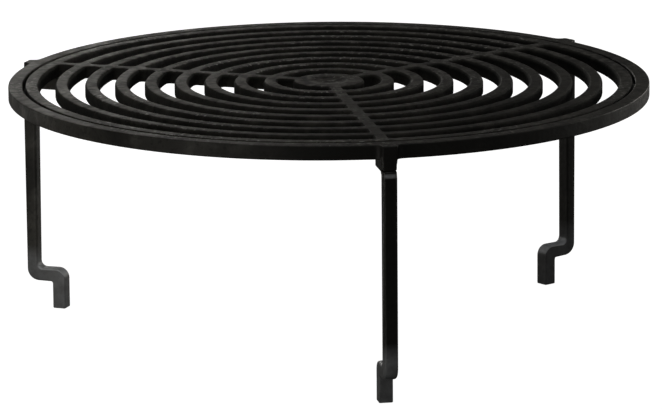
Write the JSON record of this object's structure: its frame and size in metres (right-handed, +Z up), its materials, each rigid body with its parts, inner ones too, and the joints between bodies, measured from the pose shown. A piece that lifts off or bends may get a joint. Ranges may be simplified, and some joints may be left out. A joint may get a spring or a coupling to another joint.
{
  "type": "raised grill stand",
  "caption": "Round raised cooking grate of concentric bars that drops into a ring stand on hooked legs, for use over embers or a flame.",
  "frame": {"origin": "middle of the bottom face of the object's bounding box, on the plane of the feet's soles", "axes": "+Z up; -Y towards the front leg, which lies in the plane x = 0; the ring's vertical axis passes through (0, 0.0036)"},
  "size_m": [0.45, 0.4572, 0.18],
  "materials": {
    "grate_iron": "matte black, seasoned, fine sand-cast grain",
    "ring_iron": "matte black, seasoned, fine sand-cast grain",
    "leg_iron": "matte black, fine sand-cast grain",
    "screw_steel": "black oxide"
  },
  "bodies": {
    "stand": {"support_ring": "ring_iron", "leg_front": "leg_iron", "leg_back_right": "leg_iron", "leg_back_left": "leg_iron", "leg_screw_front": "screw_steel", "leg_screw_back_right": "screw_steel", "leg_screw_back_left": "screw_steel"},
    "grate": {"grate": "grate_iron"}
  },
  "joints": [
    {"name": "grate_lift", "type": "slide", "parent": "stand", "child": "grate", "axis": [0, 0, 1], "range_m": [0, 0.05]}
  ]
}
